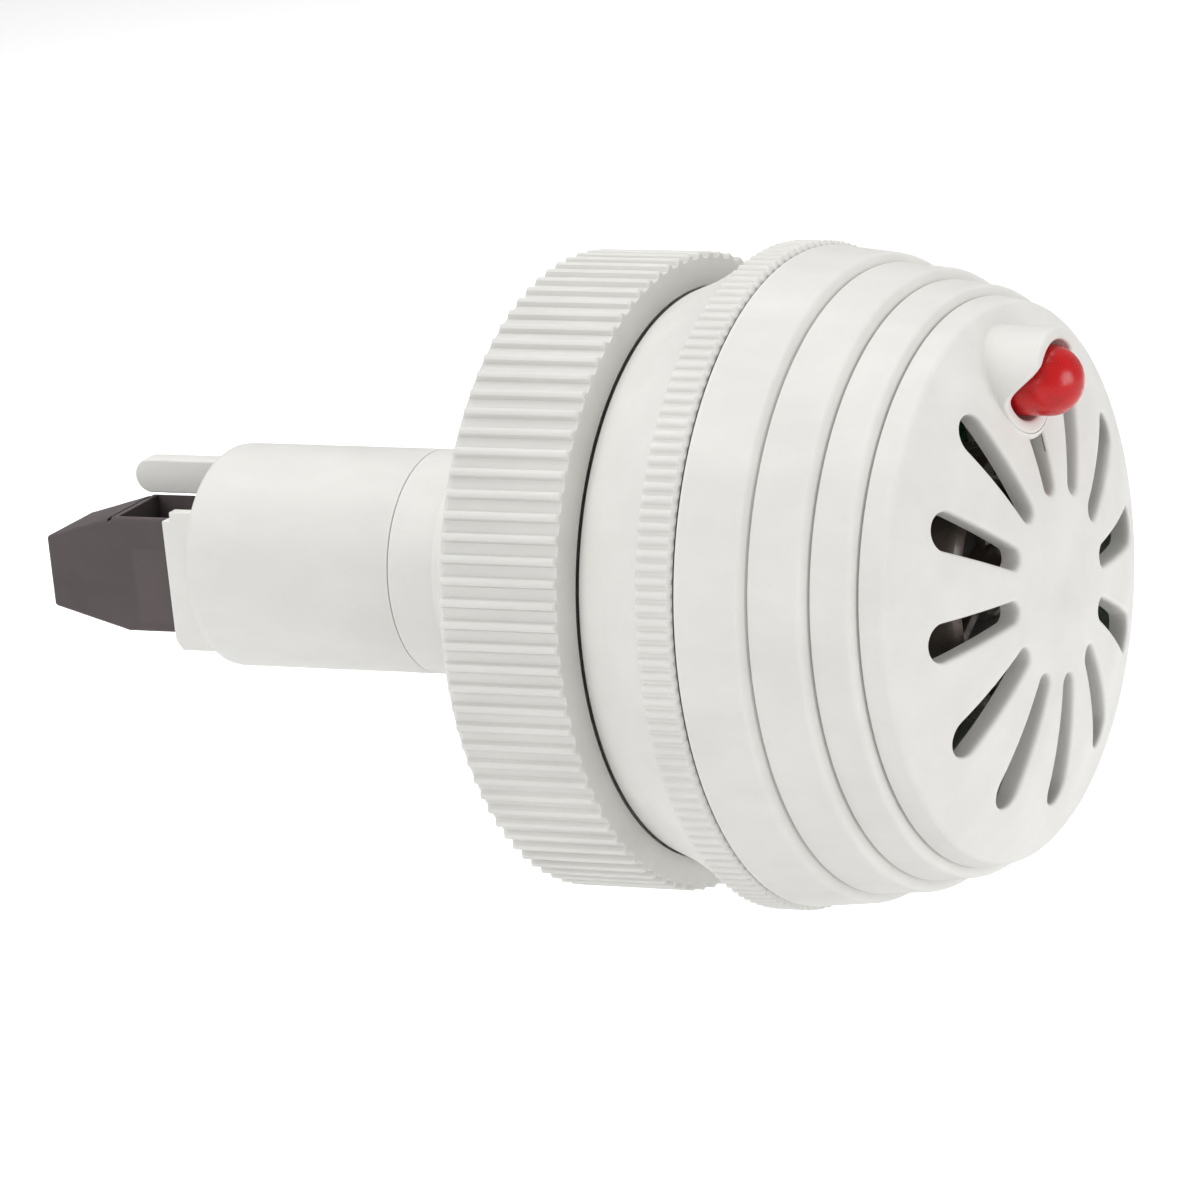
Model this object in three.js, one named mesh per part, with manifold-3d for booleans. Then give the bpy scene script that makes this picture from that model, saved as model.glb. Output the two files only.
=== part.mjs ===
// Ultrasonic pest repeller for panel mounting, as an assembly of separate pieces.
// Millimetres. The origin is the centre of the panel seat (the flange's rear face). +X runs out of the
// panel to the slotted front, -X back through the panel to the terminals, and +Z is up, the LED's side.

import * as THREE from "three";
import { mergeVertices } from "three/addons/utils/BufferGeometryUtils.js";
import Module from "manifold-3d";

const wasm = await Module();
wasm.setup();

// Driving dimensions

const GAP = 0.3; // air between pieces that touch
const WALL = 2.45; // moulded wall of the head
const ROUND_SEGMENTS = 40; // facets round the large turned pieces
const MIDDLE_SEGMENTS = 24; // facets round the LED, the transducer and the rear tube
const SMALL_SEGMENTS = 16; // facets round pins, screws and bosses

// Flange base: two-cone skirt, knurled rim, threaded stem, smooth tube
const SEAT_RADIUS = 32.3;
const CREASE = { x: 3.7, r: 33.7 };
const SKIRT_END = { x: 9.6, r: 36.8 };
const RIM = { end: 14.3, r: 37.7 };
const BASE_FLOOR = 3.0;
const THREAD_RADIUS = 14.9;
const THREAD_END = -28.5;
const TUBE_RADIUS = 12.92;
const STEM_END = -35.4;
const STEM_BORE = 11.2;
const KEYWAY = { width: 3.0, floor: 13.6 };
const BOSS_CIRCLE = 27.0;
const BOSS_ANGLES = [60, 180, 300]; // degrees from +Z towards +Y

// Grille cap: stepped dome with slots and the LED hood
const CAP_BACK = RIM.end + GAP;
const STEPS = [
  // where each band starts and ends
  { x0: CAP_BACK, r0: 37.2, x1: 21.9, r1: 36.5 },
  { x0: 22.5, r0: 35.4, x1: 28.7, r1: 34.9 },
  { x0: 29.2, r0: 33.6, x1: 33.9, r1: 33.1 },
  { x0: 34.3, r0: 31.9, x1: 36.6, r1: 31.6 },
];
const FACE = { apex: 43.85, r: 31.1, drop: 6.3, power: 2.4 }; // domed front: x = apex - drop (r / R)^power
const FACE_INNER = { apex: FACE.apex - WALL, r: 28.4, drop: 5.1, power: 2.4 };
const DIMPLE = { r: 4.0, depth: 0.5 };
const SPIGOT = { back: 10.6, outer: 34.3, inner: 32.5 };
const SLOT_COUNT = 12;
const SLOT = { innerCentre: 11.6, innerRadius: 1.25, outerCentre: 23.5, outerRadius: 2.15 };

// LED and its hood
const LED = { z: 23.5, r: 4.0, back: 35.5, centre: 44.4, flange: 4.25 };
const HOOD = { r: 6.0, bore: 4.55, back: 37.0 };
// The hood's front edge seen from the side, as x over z: long above the LED, nearly flush below it.
const HOOD_EDGE = [
  [42.9, 16.0],
  [42.5, 17.5],
  [42.1, 19.0],
  [41.7, 21.8],
  [42.2, 22.9],
  [43.0, 23.6],
  [44.1, 24.5],
  [45.1, 25.5],
  [45.7, 26.6],
  [45.7, 31.0],
];

// Ring nut and slip washer
const RIDGES = 92;
// The nut's front is a shallow cone, from front at the shoulder to lip at the recess.
const NUT = {
  back: -16.1,
  front: -0.9,
  lip: -0.1,
  tip: 36.2,
  root: 35.55,
  shoulder: 35.3,
  recess: 32.6,
  bore: 15.2,
};
const WASHER = { back: -1.9, front: -0.6, r: 28.4 };

// Rear tube and the pluggable terminal block
const TUBE = { back: -63.1, solidEnd: -56.0, bore: 10.4 };
const SOCKET_FLOOR = -62.0;
const POLES = [-2.54, 2.54]; // 5.08 mm pitch
const PLUG = { back: -85.5, front: -62.3, halfWidth: 5.08, low: -8.35, high: 5.4 };
const PLUG_SLOPE = { x: -76.2, low: -5.6, high: 2.8 }; // the wedge: heights at the back end
const PLUG_SLOPE_BELOW = -75.7;
const TROUGH = { back: -75.6, halfWidth: 4.5, floor: 2.2 };
const CLAMP_X = -71.0;
const PIN_Z = -2.75;

// Circuit board
const BOARD = { x0: 16.0, x1: 17.6, r: 31.8 };
const TRANSDUCER = { r: 15.5, back: BOARD.x1 + GAP, front: 37.8 };

// Colours as red, green, blue, with roughness and metalness
const FINISH = {
  greyPlastic: ["#dedcd7", 0.55, 0],
  darkPlastic: ["#4a4243", 0.6, 0],
  blackPlastic: ["#191716", 0.25, 0],
  redLens: ["#c81e22", 0.12, 0],
  steel: ["#a9abad", 0.35, 1],
  brass: ["#b8964a", 0.4, 1],
  tin: ["#b9bbbd", 0.3, 1],
  rubber: ["#1f1f20", 0.85, 0],
  nylon: ["#e4e1d6", 0.6, 0],
  board: ["#1f6b3c", 0.5, 0],
  ferrite: ["#2c2b2d", 0.7, 0],
  copper: ["#b0602f", 0.35, 1],
  capSleeve: ["#1c2c52", 0.35, 0],
  resistor: ["#c9ab7d", 0.5, 0],
  ceramic: ["#d8d4c6", 0.5, 0],
  redLead: ["#a81f1f", 0.5, 0],
  blackLead: ["#1b1b1b", 0.5, 0],
};

// Solids: three.js geometry in, manifold-3d bodies for joins and cuts, three.js meshes out

// A closed geometry as a solid, with its shared vertices merged and collapsed triangles dropped.
function solid(geometry) {
  const bare = geometry.clone();
  bare.deleteAttribute("normal");
  bare.deleteAttribute("uv");
  const merged = mergeVertices(bare, 1e-4);
  const corners = merged.index.array;
  const kept = [];
  for (let i = 0; i < corners.length; i += 3) {
    const [a, b, c] = corners.slice(i, i + 3);
    if (a !== b && b !== c && c !== a) kept.push(a, b, c);
  }
  return new wasm.Manifold(
    new wasm.Mesh({
      numProp: 3,
      vertProperties: merged.attributes.position.array,
      triVerts: new Uint32Array(kept),
    }),
  );
}

// A named mesh of a solid in one of the finishes above.
function piece(name, body, finish) {
  const { vertProperties, triVerts } = body.getMesh();
  const geometry = new THREE.BufferGeometry();
  geometry.setAttribute("position", new THREE.BufferAttribute(vertProperties, 3));
  geometry.setIndex(new THREE.BufferAttribute(triVerts, 1));
  geometry.computeVertexNormals();
  const [color, roughness, metalness] = FINISH[finish];
  const material = new THREE.MeshStandardMaterial({ color, roughness, metalness });
  const mesh = new THREE.Mesh(geometry, material);
  mesh.name = name;
  return mesh;
}

// Twice the signed area of a closed outline of [x, y] pairs.
function signedArea(outline) {
  return outline.reduce((sum, [x, y], i) => {
    const [nextX, nextY] = outline[(i + 1) % outline.length];
    return sum + x * nextY - nextX * y;
  }, 0);
}

// A body turned about the X axis from a closed profile of [x, radius] pairs.
function turned(profile, segments = ROUND_SEGMENTS) {
  const ordered = signedArea(profile) > 0 ? [...profile].reverse() : [...profile];
  const points = [...ordered, ordered[0]].map(([x, r]) => new THREE.Vector2(r, x));
  return solid(new THREE.LatheGeometry(points, segments).rotateZ(-Math.PI / 2));
}

// A straight round bar along X, centred on y and z.
function bar(x0, x1, r, y = 0, z = 0, segments = SMALL_SEGMENTS) {
  const profile = [
    [x0, 0],
    [x0, r],
    [x1, r],
    [x1, 0],
  ];
  return turned(profile, segments).translate([0, y, z]);
}

// A round bar along Z, centred on x and y.
function post(x, y, z0, z1, r, segments = SMALL_SEGMENTS) {
  const geometry = new THREE.CylinderGeometry(r, r, z1 - z0, segments);
  return solid(geometry.rotateX(Math.PI / 2).translate(x, y, (z0 + z1) / 2));
}

// A block between two corners.
function block([x0, y0, z0], [x1, y1, z1]) {
  const geometry = new THREE.BoxGeometry(x1 - x0, y1 - y0, z1 - z0);
  return solid(geometry.translate((x0 + x1) / 2, (y0 + y1) / 2, (z0 + z1) / 2));
}

// A plate along X from an outline of [y, z] pairs.
function plateAlongX(outline, x0, x1) {
  const ordered = signedArea(outline) < 0 ? [...outline].reverse() : outline;
  const shape = new THREE.Shape(ordered.map(([y, z]) => new THREE.Vector2(y, z)));
  const geometry = new THREE.ExtrudeGeometry(shape, { depth: x1 - x0, bevelEnabled: false });
  // the shape's own x, y and depth become Y, Z and X
  const turn = new THREE.Matrix4().set(0, 0, 1, x0, 1, 0, 0, 0, 0, 1, 0, 0, 0, 0, 0, 1);
  return solid(geometry.applyMatrix4(turn));
}

// A plate along Y from an outline of [x, z] pairs.
function plateAlongY(outline, y0, y1) {
  const ordered = signedArea(outline) < 0 ? [...outline].reverse() : outline;
  const shape = new THREE.Shape(ordered.map(([x, z]) => new THREE.Vector2(x, z)));
  const geometry = new THREE.ExtrudeGeometry(shape, { depth: y1 - y0, bevelEnabled: false });
  return solid(geometry.rotateX(Math.PI / 2).translate(0, y1, 0));
}

// An insulated lead: a round tube of wire along a smooth route.
function lead(points, diameter, steps) {
  const route = new THREE.CatmullRomCurve3(points.map((p) => new THREE.Vector3(...p)));
  const section = new THREE.Shape();
  const sides = 8;
  for (let i = 0; i < sides; i++) {
    const angle = (i / sides) * 2 * Math.PI;
    const x = (Math.cos(angle) * diameter) / 2;
    const y = (Math.sin(angle) * diameter) / 2;
    if (i === 0) section.moveTo(x, y);
    else section.lineTo(x, y);
  }
  return solid(new THREE.ExtrudeGeometry(section, { steps, extrudePath: route, bevelEnabled: false }));
}

// Points of an arc as [x, y] pairs, angles in degrees.
function arc(x, y, r, from, to, steps) {
  return Array.from({ length: steps + 1 }, (_, i) => {
    const angle = THREE.MathUtils.degToRad(from + ((to - from) * i) / steps);
    return [x + r * Math.cos(angle), y + r * Math.sin(angle)];
  });
}

// The place on a circle about X, by degrees from +Z towards +Y.
function around(r, degrees) {
  const angle = THREE.MathUtils.degToRad(degrees);
  return [r * Math.sin(angle), r * Math.cos(angle)];
}

// Height of a domed face over its radius.
function faceHeight({ apex, r, drop, power }, radius) {
  return apex - drop * (radius / r) ** power;
}

// Flange base

function flangeBase() {
  const groove = { inner: 20, outer: 28.6, depth: 1 };
  let body = turned([
    [0, SEAT_RADIUS],
    [CREASE.x, CREASE.r],
    [SKIRT_END.x, SKIRT_END.r],
    [SKIRT_END.x, RIM.r],
    [RIM.end, RIM.r],
    [RIM.end, SPIGOT.outer + GAP],
    [8.7, SPIGOT.outer + GAP],
    [8.7, 33.2],
    [BASE_FLOOR, 30.8],
    [BASE_FLOOR, STEM_BORE],
    [STEM_END, STEM_BORE],
    [STEM_END, TUBE_RADIUS],
    [THREAD_END - 1, TUBE_RADIUS],
    [THREAD_END + 1, THREAD_RADIUS],
    [0, THREAD_RADIUS],
    [0, groove.inner],
    [groove.depth, groove.inner],
    [groove.depth, groove.outer],
    [0, groove.outer],
  ]);
  for (const angle of BOSS_ANGLES) {
    const [y, z] = around(BOSS_CIRCLE, angle);
    body = body.add(bar(BASE_FLOOR - 0.5, BOARD.x0 - GAP, 3.2, y, z));
    body = body.subtract(bar(7.5, BOARD.x0, 1.6, y, z));
  }
  const half = KEYWAY.width / 2;
  return body.subtract(block([THREAD_END - 2, -half, KEYWAY.floor], [-0.01, half, THREAD_RADIUS + 1]));
}

function panelGasket() {
  return turned([
    [-0.3, 20.3],
    [0.7, 20.3],
    [0.7, 28.3],
    [-0.3, 28.3],
  ]);
}

function capSeal() {
  return turned([
    [9.0, 33.4],
    [SPIGOT.back - GAP, 33.4],
    [SPIGOT.back - GAP, 34.3],
    [9.0, 34.3],
  ]);
}

// Grille cap

// The tapered outline of one slot, round at both ends, pointing up from the middle.
function slotOutline(outerCentre) {
  const { innerCentre, innerRadius, outerRadius } = SLOT;
  const lean = THREE.MathUtils.radToDeg(
    Math.asin((outerRadius - innerRadius) / (SLOT.outerCentre - innerCentre)),
  );
  return [
    ...arc(0, outerCentre, outerRadius, -lean, 180 + lean, 6),
    ...arc(0, innerCentre, innerRadius, 180 + lean, 360 - lean, 4),
  ];
}

function grilleCap() {
  const bands = STEPS.flatMap(({ x0, r0, x1, r1 }) => [
    [x0, r0],
    [x1, r1],
  ]);
  const outerFace = [FACE.r, 26, 21, 15, 9, DIMPLE.r].map((r) => [faceHeight(FACE, r), r]);
  const innerFace = [0, 9, 17, 23, FACE_INNER.r].map((r) => [faceHeight(FACE_INNER, r), r]);
  let body = turned([
    ...bands,
    [37.2, 31.45],
    ...outerFace,
    [FACE.apex - DIMPLE.depth, 0],
    ...innerFace,
    [34.5, 29.4],
    [29, 31.1],
    [22, 32.5],
    [16, SPIGOT.inner],
    [SPIGOT.back, SPIGOT.inner],
    [SPIGOT.back, SPIGOT.outer],
    [CAP_BACK, SPIGOT.outer],
  ]);
  const slot = plateAlongX(slotOutline(SLOT.outerCentre), 34, 50);
  for (let i = 0; i < SLOT_COUNT; i++) body = body.subtract(slot.rotate([(360 / SLOT_COUNT) * i, 0, 0]));
  return body.add(hood()).subtract(bar(30, 50, HOOD.bore, 0, LED.z, MIDDLE_SEGMENTS));
}

// The hood round the LED: a tube along X, cut to the curved front edge.
function hood() {
  const beyond = 60;
  const cutter = plateAlongY([...HOOD_EDGE, [beyond, 31.0], [beyond, 16.0]], -HOOD.r - 1, HOOD.r + 1);
  return bar(HOOD.back, beyond - 1, HOOD.r, 0, LED.z, MIDDLE_SEGMENTS).subtract(cutter);
}

// LED

function ledLens() {
  const dome = arc(LED.centre, 0, LED.r, 90, 0, 6);
  const body = turned(
    [
      [LED.back, 0],
      [LED.back, LED.flange],
      [LED.back + 1, LED.flange],
      [LED.back + 1, LED.r],
      ...dome,
    ],
    MIDDLE_SEGMENTS,
  );
  return body.subtract(bar(LED.back - 1, LED.centre - 1, 2.2)).translate([0, 0, LED.z]);
}

function ledLead(side) {
  const half = 0.3;
  const y = side * 1.27;
  const top = side > 0 ? LED.centre - 1.5 : LED.centre - 1.9;
  return block([BOARD.x1 + GAP, y - half, LED.z - half], [top, y + half, LED.z + half]);
}

function ledSpacer() {
  return bar(BOARD.x1 + GAP, LED.back - GAP, LED.r, 0, LED.z, MIDDLE_SEGMENTS).subtract(bar(10, 40, 2.5, 0, LED.z));
}

// Ring nut and slip washer

function ringNut() {
  // each ridge is a narrow rib, so its four corners fill less than half of the pitch
  const corners = [
    [NUT.root, 0],
    [NUT.tip, 0.12],
    [NUT.tip, 0.3],
    [NUT.root, 0.42],
  ];
  const ridges = Array.from({ length: RIDGES }, (_, i) =>
    corners.map(([r, share]) => around(r, (360 * (i + share)) / RIDGES)),
  ).flat();
  const pocket = { x: -5, inner: 19.5, outer: 32, hubEnd: -13 };
  let body = turned([
    [NUT.back, NUT.shoulder],
    [NUT.front, NUT.shoulder],
    [NUT.lip, NUT.recess],
    [WASHER.back - GAP, NUT.recess],
    [WASHER.back - GAP, NUT.bore],
    [pocket.hubEnd, NUT.bore],
    [pocket.hubEnd, pocket.inner],
    [pocket.x, pocket.inner],
    [pocket.x, pocket.outer],
    [NUT.back, pocket.outer],
  ]);
  const ribCount = 12;
  for (let i = 0; i < ribCount; i++) {
    const rib = block([-12, -1, pocket.inner - 0.5], [pocket.x + 0.5, 1, pocket.outer + 0.5]);
    body = body.add(rib.rotate([(360 / ribCount) * i, 0, 0]));
  }
  const knurl = plateAlongX(ridges, NUT.back + 0.5, NUT.front - 0.5);
  return body.add(knurl.subtract(bar(-20, 5, 34, 0, 0, ROUND_SEGMENTS)));
}

// The washer's key slides in the stem's keyway, so the washer can't turn.
function slipWasher() {
  const ring = turned([
    [WASHER.back, NUT.bore],
    [WASHER.front, NUT.bore],
    [WASHER.front, WASHER.r],
    [WASHER.back, WASHER.r],
  ]);
  const half = KEYWAY.width / 2 - GAP;
  return ring.add(block([WASHER.back, -half, KEYWAY.floor + GAP], [WASHER.front, half, NUT.bore + 1]));
}

// Rear tube with its socket, cheeks and latch rib

function rearTube() {
  const spigotRadius = STEM_BORE - GAP;
  const profile = [
    [TUBE.back, 0],
    ...arc(TUBE.back + 2, TUBE_RADIUS - 2, 2, 180, 90, 3),
    [STEM_END - GAP, TUBE_RADIUS],
    [STEM_END - GAP, spigotRadius],
    [-30, spigotRadius],
    [-30, 9.4],
    [-37, 9.4],
    [-37, TUBE.bore],
    [TUBE.solidEnd, TUBE.bore],
    [TUBE.solidEnd, 0],
  ];
  let body = turned(profile, MIDDLE_SEGMENTS);
  const cheek = [
    [TUBE.back + 1, -9.9],
    [-67.6, -9.9],
    [-68.4, -8.7],
    [-68.4, 5.7],
    [-67.3, 5.7],
    [-67.3, 6.8],
    [TUBE.back + 1, 6.8],
  ];
  body = body.add(plateAlongY(cheek, -6.9, -5.4)).add(plateAlongY(cheek, 5.4, 6.9));
  const rib = [
    [TUBE.back + 1, 5.9],
    ...arc(-75.8, 7.95, 2.05, 270, 90, 8),
    [TUBE.back + 1, 10],
  ];
  body = body.add(plateAlongY(rib, 3.6, 6.2));
  const room = PLUG.halfWidth + GAP;
  body = body.subtract(block([-90, -room, PLUG.low - GAP], [SOCKET_FLOOR, room, PLUG.high + GAP]));
  for (const y of POLES) body = body.subtract(bar(-64, -54, 0.9, y, PIN_Z));
  return body;
}

function headerBlock() {
  let body = block([-55.7, -5.2, -6.5], [-50, 5.2, 1.5]);
  for (const y of POLES) body = body.subtract(bar(-58, -48, 0.9, y, PIN_Z));
  return body;
}

function headerPin(y) {
  const half = 0.4;
  return block([-67, y - half, PIN_Z - half], [-46, y + half, PIN_Z + half]);
}

// Pluggable terminal block

function plugHousing() {
  const side = [
    [PLUG.back, PLUG_SLOPE.low],
    [PLUG_SLOPE_BELOW, PLUG.low],
    [PLUG.front, PLUG.low],
    [PLUG.front, PLUG.high],
    [PLUG_SLOPE.x, PLUG.high],
    [PLUG.back, PLUG_SLOPE.high],
  ];
  let body = plateAlongY(side, -PLUG.halfWidth, PLUG.halfWidth);
  const trough = TROUGH.halfWidth;
  body = body.subtract(block([TROUGH.back, -trough, TROUGH.floor], [-61, trough, PLUG.high + 1]));
  for (const y of POLES) {
    body = body
      .subtract(block([-74, y - 2.15, -7.2], [-68.2, y + 2.15, 1.6])) // cage chamber
      .subtract(block([-86, y - 1.9, -5.0], [-73.9, y + 1.9, -1.7])) // wire entry
      .subtract(block([-68.3, y - 1.4, -4.15], [-62, y + 1.4, -1.35])) // contact channel
      .subtract(post(CLAMP_X, y, 1, 3, 1.5)); // screw hole
  }
  return body;
}

function plugContact(y) {
  const strip = block([-75, y - 1, PIN_Z - 0.25], [-67.4, y + 1, PIN_Z + 0.25]);
  const sleeve = block([-67.5, y - 1.1, PIN_Z - 1.1], [-62.6, y + 1.1, PIN_Z + 1.1]);
  return strip.add(sleeve.subtract(block([-67.2, y - 0.7, PIN_Z - 0.7], [-62, y + 0.7, PIN_Z + 0.7])));
}

function clampScrew(y) {
  const head = post(CLAMP_X, y, 2.5, 3.9, 1.75, 20);
  const driverSlot = block([CLAMP_X - 2, y - 0.3, 3.2], [CLAMP_X + 2, y + 0.3, 4.5]);
  return head.subtract(driverSlot).add(post(CLAMP_X, y, -2.2, 2.6, 1.2));
}

function clampCage(y) {
  const halfLength = 2.2;
  const halfWidth = 1.85;
  const body = block(
    [CLAMP_X - halfLength, y - halfWidth, -6.6],
    [CLAMP_X + halfLength, y + halfWidth, -0.9],
  );
  const window = block([CLAMP_X - 4, y - 1.3, -5.9], [CLAMP_X + 4, y + 1.3, -2.1]);
  return body.subtract(window).subtract(post(CLAMP_X, y, -3, 0, 1.5));
}

// Circuit board and its components

function circuitBoard() {
  let body = bar(BOARD.x0, BOARD.x1, BOARD.r, 0, 0, ROUND_SEGMENTS);
  for (const angle of BOSS_ANGLES) {
    const [y, z] = around(BOSS_CIRCLE, angle);
    body = body.subtract(bar(BOARD.x0 - 1, BOARD.x1 + 1, 1.7, y, z));
  }
  return body;
}

function boardScrew(angle) {
  const [y, z] = around(BOSS_CIRCLE, angle);
  const under = BOARD.x1 + GAP;
  const head = bar(under, under + 1.8, 2.7, y, z, 20);
  const slot = block([under + 0.9, y - 0.35, z - 3], [under + 3, y + 0.35, z + 3]);
  return head.subtract(slot).add(bar(8, under + 0.1, 1.3, y, z));
}

function transformerCore() {
  const y = 15;
  const z = -15;
  const outer = block([5.4, y - 6, z - 5], [15.6, y + 6, z + 5]);
  const window = block([7.4, y - 7, z - 3.2], [13.6, y + 7, z + 3.2]);
  const centreLeg = block([7, y - 2, z - 1.3], [14, y + 2, z + 1.3]);
  const sides = block([5.4, y - 6, z - 5], [15.6, y - 4, z + 5]);
  return outer.subtract(window).add(centreLeg).add(sides);
}

function transformerCoil() {
  const y = 15;
  const z = -15;
  const outer = block([7.8, y - 3.6, z - 2.9], [13.2, y + 5.8, z + 2.9]);
  return outer.subtract(block([7, y - 4, z - 1.7], [14, y + 2.4, z + 1.7]));
}

function capacitor() {
  return turned(
    [
      [4.7, 0],
      [4.7, 4.5],
      [5.1, 5],
      [14.4, 5],
      [14.8, 4.7],
      [15.6, 4.9],
      [15.6, 0],
    ],
    MIDDLE_SEGMENTS,
  ).translate([0, -15, -15]);
}

function driverChip() {
  let body = block([11.6, -21, 0.8], [14.6, -11, 7.2]);
  for (const side of [0.2, 7.2])
    for (let i = 0; i < 4; i++) {
      const y = -19.81 + 2.54 * i;
      body = body.add(block([12.8, y - 0.4, side], [15.6, y + 0.4, side + 0.6]));
    }
  return body;
}

function transistor() {
  let body = block([6.2, 12, 1], [13, 22, 5.4]).add(block([4.2, 12, 1], [6.3, 22, 2.4]));
  for (const y of [14.46, 17, 19.54]) body = body.add(block([12.9, y - 0.4, 2.6], [15.6, y + 0.4, 3.3]));
  return body;
}

function resistor(y, z) {
  const along = (from, to, r) => bar(from, to, r, 0, 0, 12).rotate([0, 0, 90]);
  const legs = block([-0.25, -4.6, -0.25], [2.1, -4.1, 0.25]).add(
    block([-0.25, 4.1, -0.25], [2.1, 4.6, 0.25]),
  );
  return along(-3.2, 3.2, 1.15).add(along(-4.5, 4.5, 0.25)).add(legs).translate([13.5, y, z]);
}

// Transducer

function transducerHousing() {
  const { r, back, front } = TRANSDUCER;
  const profile = [
    [back, r - 1.4],
    [back, r],
    [front - 1.2, r],
    [front - 0.35, r - 0.35],
    [front, r - 1.2],
    [front, r - 2],
    [32, 12.4],
    [30, 12.4],
    [30, r - 1.4],
  ];
  return turned(profile, MIDDLE_SEGMENTS);
}

// A ring on three spokes with a round nose, in front of the cone.
function phasePlug() {
  let body = turned(
    [
      [33.5, 0],
      [33.5, 4.6],
      [35.5, 4],
      [36.8, 2.4],
      [37.2, 0],
    ],
    MIDDLE_SEGMENTS,
  );
  for (const angle of [0, 120, 240]) {
    const spoke = block([33.6, -0.8, 3.5], [34.8, 0.8, 11.8]);
    body = body.add(spoke.rotate([angle, 0, 0]));
  }
  const ring = [
    [33.5, 11.4],
    [34.8, 11.4],
    [34.8, 12.0],
    [33.5, 12.0],
  ];
  return body.add(turned(ring, MIDDLE_SEGMENTS));
}

function transducerCone() {
  const profile = [
    [29.6, 0],
    [29.6, 3.6],
    [32.9, 11.8],
    [33.2, 11.8],
    [30.3, 3.4],
    [30.3, 0],
  ];
  return turned(profile, MIDDLE_SEGMENTS);
}

function piezoDisc() {
  return bar(28.4, 29.3, 8.5, 0, 0, MIDDLE_SEGMENTS);
}

function transducerPlate() {
  let body = bar(22, 23.6, 13.8, 0, 0, MIDDLE_SEGMENTS);
  for (const y of [-5, 5]) body = body.subtract(bar(20, 25, 1.2, y, 0));
  return body;
}

// The assembly

const repeller = new THREE.Group();

const casing = new THREE.Group();
casing.add(
  piece("flange_base", flangeBase(), "greyPlastic"),
  piece("grille_cap", grilleCap(), "greyPlastic"),
  piece("cap_seal", capSeal(), "rubber"),
  piece("panel_gasket", panelGasket(), "rubber"),
  piece("rear_tube", rearTube(), "greyPlastic"),
  piece("header_block", headerBlock(), "nylon"),
);
POLES.forEach((y, i) => casing.add(piece(`header_pin_${i + 1}`, headerPin(y), "tin")));

const fixing = new THREE.Group();
fixing.add(
  piece("ring_nut", ringNut(), "greyPlastic"),
  piece("slip_washer", slipWasher(), "nylon"),
);

const plug = new THREE.Group();
plug.add(piece("plug_housing", plugHousing(), "darkPlastic"));
POLES.forEach((y, i) => {
  plug.add(
    piece(`plug_contact_${i + 1}`, plugContact(y), "tin"),
    piece(`clamp_screw_${i + 1}`, clampScrew(y), "steel"),
    piece(`clamp_cage_${i + 1}`, clampCage(y), "brass"),
  );
});

const electronics = new THREE.Group();
electronics.add(
  piece("circuit_board", circuitBoard(), "board"),
  piece("transformer_core", transformerCore(), "ferrite"),
  piece("transformer_coil", transformerCoil(), "copper"),
  piece("capacitor", capacitor(), "capSleeve"),
  piece("driver_chip", driverChip(), "blackPlastic"),
  piece("transistor", transistor(), "blackPlastic"),
);
BOSS_ANGLES.forEach((angle, i) =>
  electronics.add(piece(`board_screw_${i + 1}`, boardScrew(angle), "steel")),
);
[
  [-11, 22],
  [11, 22],
  [-14, -24],
].forEach(([y, z], i) => electronics.add(piece(`resistor_${i + 1}`, resistor(y, z), "resistor")));

const sounder = new THREE.Group();
sounder.add(
  piece("transducer_housing", transducerHousing(), "blackPlastic"),
  piece("phase_plug", phasePlug(), "blackPlastic"),
  piece("transducer_cone", transducerCone(), "blackPlastic"),
  piece("piezo_disc", piezoDisc(), "brass"),
  piece("transducer_plate", transducerPlate(), "ceramic"),
);

const lamp = new THREE.Group();
lamp.add(
  piece("led_lens", ledLens(), "redLens"),
  piece("led_lead_1", ledLead(-1), "tin"),
  piece("led_lead_2", ledLead(1), "tin"),
  piece("led_spacer", ledSpacer(), "nylon"),
);

const wiring = new THREE.Group();
POLES.forEach((y, i) => {
  const side = Math.sign(y);
  const finish = i === 0 ? "blackLead" : "redLead";
  const supply = [
    [-45.6, y, PIN_Z],
    [-36, y * 1.1, -3.2],
    [-20, side * 3.6, -1.4],
    [-4, side * 3.2, -3.6],
    [8, side * 4, -6],
    [BOARD.x0 - GAP, side * 4, -6.2],
  ];
  wiring.add(piece(`supply_lead_${i + 1}`, lead(supply, 1.6, 24), finish));
  const drive = [
    [BOARD.x1 + GAP, side * 6, 0],
    [20.5, side * 5.2, 0],
    [24.5, side * 4.9, 0],
    [28.1, side * 4.4, 0.6],
  ];
  wiring.add(piece(`transducer_lead_${i + 1}`, lead(drive, 1, 10), finish));
});

repeller.add(casing, fixing, plug, electronics, sounder, lamp, wiring);

export default repeller;
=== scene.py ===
"""Looks of the panel-mounted ultrasonic pest repeller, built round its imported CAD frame.

Lengths in the shape code are millimetres in the frame's own axes: +X out of the panel, +Z the LED's side.
"""

import math

import bmesh
import bpy
from mathutils import Matrix, Vector
from mathutils.geometry import delaunay_2d_cdt


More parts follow.
